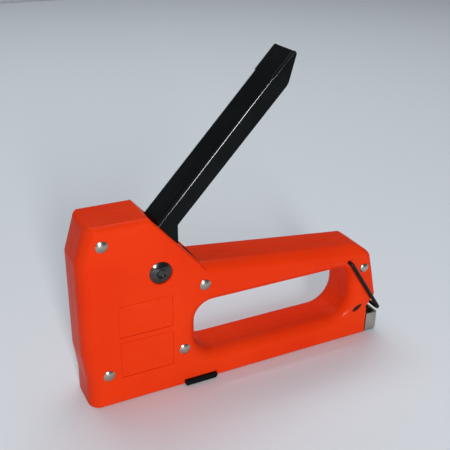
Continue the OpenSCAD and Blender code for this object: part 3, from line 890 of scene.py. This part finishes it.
# %% Lever seat and bore
SEAT_LEN, SEAT_WIDE, SEAT_THICK = 14.6, 2 * LEVER_HALF + 1.2, 1.27
SEAT_R, SEAT_BACK, SEAT_PROUD = 1.2, 0.5, 0.02
seat = bmesh.new()
bmesh.ops.create_cube(seat, size=1)
bmesh.ops.scale(seat, vec=Vector((SEAT_LEN, SEAT_WIDE, SEAT_THICK)) * MM, verts=seat.verts)
bent = [e for e in seat.edges if all(v.co.z > 0 for v in e.verts)
        and abs(e.verts[0].co.y - e.verts[1].co.y) < MERGE]
round_over(seat, bent, SEAT_R, 5)
spot = along_lever(LEVER_LEN - SEAT_BACK - SEAT_LEN / 2, 0,
                   LEVER_TOP + SEAT_PROUD - SEAT_THICK / 2)
tilted = Matrix.Translation(spot) @ Matrix.Rotation(-LEVER_ANGLE, 4, "Y")
bmesh.ops.transform(seat, matrix=tilted, verts=seat.verts)
combine(lever, to_object(seat, "tool"), "UNION")
cut(lever, bar_tool(PIVOT, PIVOT_BORE_R, OUTSIDE, -OUTSIDE))
hand_over(lever, "lever", 28)

# %% [markdown]
# ## Magazine channel, end cap and bail
# The channel is a long U of black sheet, and its cross lug fills the windows in the lower
# edge of the case. The end cap is an open tray folded from plated sheet. The bail is one
# wire: a ring of points is extruded along its path and turned at each bend.

# %% Magazine channel
CHANNEL_OUT, CHANNEL_IN, CHANNEL_LOW, CHANNEL_FLOOR, CHANNEL_TOP = 6.9, 5.9, 0.3, 1.3, 11.2
CHANNEL_START, CHANNEL_END = 6.4, 154
LUG_START, LUG_END, LUG_HALF, LUG_TOP, LUG_R = 48.8, 65.6, 14.75, 2.7, 0.5
trough = [(-CHANNEL_OUT, CHANNEL_LOW), (CHANNEL_OUT, CHANNEL_LOW), (CHANNEL_OUT, CHANNEL_TOP),
          (CHANNEL_IN, CHANNEL_TOP), (CHANNEL_IN, CHANNEL_FLOOR),
          (-CHANNEL_IN, CHANNEL_FLOOR), (-CHANNEL_IN, CHANNEL_TOP),
          (-CHANNEL_OUT, CHANNEL_TOP)]
section = [at(CHANNEL_START, y, z) for y, z in trough]
channel = to_object(drawn_out(section, (CHANNEL_END - CHANNEL_START, 0, 0)),
                    "channel_pressing")
lug_outline = ring([(LUG_START, 0, LUG_R, 0), (LUG_END, 0, 1.8, 0),
                    (LUG_END, LUG_TOP, LUG_R, 0), (LUG_START, LUG_TOP, LUG_R, 0)], 0)
lug = drawn_out([at(p.x, -LUG_HALF, p.y) for p in lug_outline], (0, 2 * LUG_HALF, 0))
round_over(lug, [e for e in lug.edges
                 if abs(e.verts[0].co.y - e.verts[1].co.y) < MERGE], 0.35, 3)
combine(channel, to_object(lug, "tool"), "UNION")
cut(channel, slab_tool(box_points(0, CHANNEL_FLOOR, 170, 9), -CHANNEL_IN, CHANNEL_IN))
hand_over(channel, "magazine_channel")

# %% End cap
ROD_Z, RAIL_END = 4.8, 156.3
CAP_SHEET, HEEL_R, CAP_FOLD_R, ROD_WAY_R = 1.0, 2, 0.8, 1.35
low, high = (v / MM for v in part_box("end_cap"))
tray = bmesh.new()
bmesh.ops.create_cube(tray, size=1)
bmesh.ops.scale(tray, vec=(high - low) * MM, verts=tray.verts)
bmesh.ops.translate(tray, vec=(low + high) / 2 * MM, verts=tray.verts)
round_over(tray, [e for e in tray.edges
                  if all(v.co.x > high.x * MM - SAME_PLACE
                         and v.co.z < low.z * MM + SAME_PLACE for v in e.verts)], HEEL_R, 6)
folds = [e for e in tray.edges
         if len(e.link_faces) == 2 and any(abs(f.normal.y) > 0.9 for f in e.link_faces)
         and all(f.normal.z < 0.9 and f.normal.x > -0.9 for f in e.link_faces)]
round_over(tray, folds, CAP_FOLD_R, 4)
bmesh.ops.recalc_face_normals(tray, faces=tray.faces)
open_faces = [f for f in tray.faces if f.normal.z > 0.9 or f.normal.x < -0.9]
bmesh.ops.delete(tray, geom=open_faces, context="FACES")
bmesh.ops.solidify(tray, geom=tray.faces, thickness=CAP_SHEET * MM)
cap = to_object(tray, "end_cap_pressing")
tab = slab_tool(box_points(RAIL_END, 0.5, RAIL_END + CAP_SHEET, 9.5), -6, 6)
combine(cap, tab, "UNION")
cut(cap, round_tool(at(160, 0, ROD_Z), "Y", ROD_WAY_R, 20, 24))
hand_over(cap, "end_cap", 28)


# %% Bent wire
def bent_wire(path, radius, around=16):
    bm = bmesh.new()
    way = (path[1] - path[0]).normalized()
    turn = Vector((0, 0, 1)).rotation_difference(way).to_matrix().to_4x4()
    ring_verts = bmesh.ops.create_circle(
        bm, cap_ends=False, segments=around, radius=radius,
        matrix=Matrix.Translation(path[0]) @ turn)["verts"]
    loop = list({e for v in ring_verts for e in v.link_edges})
    bmesh.ops.contextual_create(bm, geom=loop)
    for i in range(1, len(path)):
        ahead = (path[min(i + 1, len(path) - 1)] - path[i - 1]).normalized()
        grown = bmesh.ops.extrude_edge_only(bm, edges=loop)["geom"]
        fresh = verts_in(grown)
        loop = [e for e in edges_in(grown) if all(v in fresh for v in e.verts)]
        bmesh.ops.translate(bm, vec=path[i] - path[i - 1], verts=fresh)
        bend = way.rotation_difference(ahead).to_matrix()
        bmesh.ops.rotate(bm, cent=path[i], matrix=bend, verts=fresh)
        way = ahead
    bmesh.ops.contextual_create(bm, geom=loop)
    return bm


BAIL_LEN, BAIL_HANG, BAIL_Y, WIRE_R = 38, radians(56.5), 15.4, 1.0
HOOK, BEND, HOOK_END = 1.5, 3, 0.6
ARC_STEPS = 8


def on_bail(reach, y):
    return at(BAIL[0] + reach * cos(BAIL_HANG), y, BAIL[1] - reach * sin(BAIL_HANG))


arc = [radians(90) * k / ARC_STEPS for k in range(ARC_STEPS + 1)]
half_path = [(0, CAVITY - HOOK_END), (0, CAVITY + HOOK_END)]
half_path += [(HOOK - HOOK * cos(a), BAIL_Y - HOOK + HOOK * sin(a)) for a in arc]
half_path += [(BAIL_LEN - BEND + BEND * sin(a), BAIL_Y - BEND + BEND * cos(a)) for a in arc]
bail_path = [on_bail(r, y) for r, y in half_path]
bail_path += [on_bail(r, -y) for r, y in reversed(half_path)]
hand_over(to_object(bent_wire(bail_path, WIRE_R * MM), "bail_wire"), "lock_bail")

# %% [markdown]
# ## Springs
# Each spring is the same bent wire along a coil, and the two long ones have close-wound
# ends. In the real tool the power spring gets shorter as the hammer rises, and the pusher's
# spring as the pusher is drawn back. Here each spring is one fixed coil: the two long ones
# ride whole with their bodies, and the lever's return spring, with one leg towards a post on
# the case and one towards the lever, stays where it is built.

# %% Coils
COIL_LOW, COIL_HIGH, COIL_X = 34, 78.4, 13.6
FEED_START = 16
SHUT_TURNS, SHUT_PITCH = 1.25, 1.2


def coil_path(length, radius, turns, wire, per_turn, place):
    shut, pitch = SHUT_TURNS, SHUT_PITCH * wire
    path = []
    for k in range(turns * per_turn + 1):
        t = k / per_turn
        if t < shut:
            rise = t * pitch
        elif t > turns - shut:
            rise = length - (turns - t) * pitch
        else:
            rise = shut * pitch + (t - shut) / (turns - 2 * shut) * (length - 2 * shut * pitch)
        path.append(place(rise, radius * cos(2 * pi * t), radius * sin(2 * pi * t)))
    return path


def spring(name, node, path, wire, around=10, rides=True):
    return hand_over(to_object(bent_wire(path, wire / 2 * MM, around), name), node, 60, rides)


POWER_WIRE, POWER_R, POWER_TURNS = 1.6, 4.1, 10
FEED_WIRE, FEED_R, FEED_TURNS = 0.6, 1.85, 26
coil = coil_path(COIL_HIGH - COIL_LOW - POWER_WIRE, POWER_R, POWER_TURNS, POWER_WIRE, 24,
                 lambda h, a, b: at(COIL_X + a, b, COIL_LOW + POWER_WIRE / 2 + h))
power = spring("power_spring_coil", "power_spring", coil, POWER_WIRE)
at(COIL_X, 0, COIL_HIGH)
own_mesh(power)

coil = coil_path(RAIL_END - FEED_START - FEED_WIRE, FEED_R, FEED_TURNS, FEED_WIRE, 16,
                 lambda h, a, b: at(FEED_START + FEED_WIRE / 2 + h, b, ROD_Z - a))
feed = spring("pusher_spring_coil", "pusher_spring", coil, FEED_WIRE, 8)
at(RAIL_END, 0, ROD_Z)
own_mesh(feed)

# %% Return spring
RETURN_WIRE, RETURN_R, SPREAD, RETURN_STEPS = 1.0, 4.7, 6.6, 72
TO_POST, TO_WEB = radians(-110), LEVER_ANGLE + radians(25)
POST_STEP, WEB_STEP, LEG_STEPS = 5.5, 8.4, 4


def round_pivot(radius, angle, y):
    return at(PIVOT[0] + radius * cos(angle), y, PIVOT[1] + radius * sin(angle))


def leg_way(angle):
    return Vector((cos(angle), 0, sin(angle)))


begin, end = TO_POST + pi / 2, TO_WEB - pi / 2 + 6 * pi
shares = [k / RETURN_STEPS for k in range(RETURN_STEPS + 1)]
coil = [round_pivot(RETURN_R, begin + (end - begin) * t, SPREAD * (t - 0.5)) for t in shares]
steps = range(1, LEG_STEPS + 1)
post_leg = [coil[0] + leg_way(TO_POST) * k * POST_STEP * MM for k in reversed(steps)]
web_leg = [coil[-1] + leg_way(TO_WEB) * k * WEB_STEP * MM for k in steps]
back_spring = spring("return_spring_coil", "lever_return_spring",
                     post_leg + coil + web_leg, RETURN_WIRE, rides=False)
at(PIVOT[0], -2.6, PIVOT[1])
at(PIVOT[0], 2.6, PIVOT[1])
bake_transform(back_spring)

# %% [markdown]
# ## The size
# The looks must stay inside the design's box, so the new box is measured and how far it
# reaches past the design's box on each side is printed, in millimetres.

# %% Sizes
new_low, new_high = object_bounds()
growth = (*(cad_low - new_low), *(new_high - cad_high))
print("grown by mm:", [round(v / MM, 2) for v in growth])
